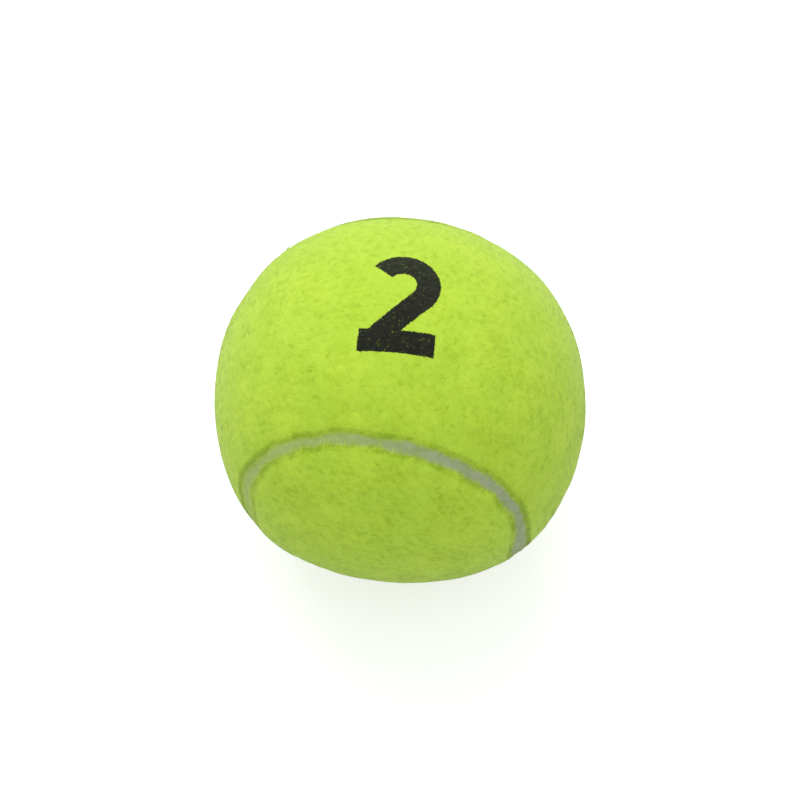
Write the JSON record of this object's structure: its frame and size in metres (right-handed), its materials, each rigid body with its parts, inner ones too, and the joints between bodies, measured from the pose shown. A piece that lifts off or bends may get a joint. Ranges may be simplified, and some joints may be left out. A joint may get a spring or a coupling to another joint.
{
  "type": "padel ball",
  "caption": "Pressurised sports ball: rubber core of cemented half-shells under interlocking felt panels, with a recessed seam band between them.",
  "frame": {"origin": "centre of the ball", "axes": "+Z out through the waist of the upper felt panel, +X and -X out through its two lobes, +Y and -Y out through the two lobes of the lower panel"},
  "size_m": [0.0652, 0.0652, 0.0652],
  "materials": {
    "felt": "optic yellow wool and nylon felt, brushed nap",
    "seam_compound": "matt grey-green latex compound",
    "core_rubber": "matt moulded rubber, buffed outside",
    "cement": "cured tan rubber cement"
  },
  "bodies": {
    "root": {"core_half_upper": "core_rubber", "core_half_lower": "core_rubber", "core_bond_ring": "cement", "cement_coat_upper": "cement", "cement_coat_lower": "cement", "felt_panel_upper": "felt", "felt_panel_lower": "felt", "seam_band": "seam_compound"}
  },
  "joints": []
}
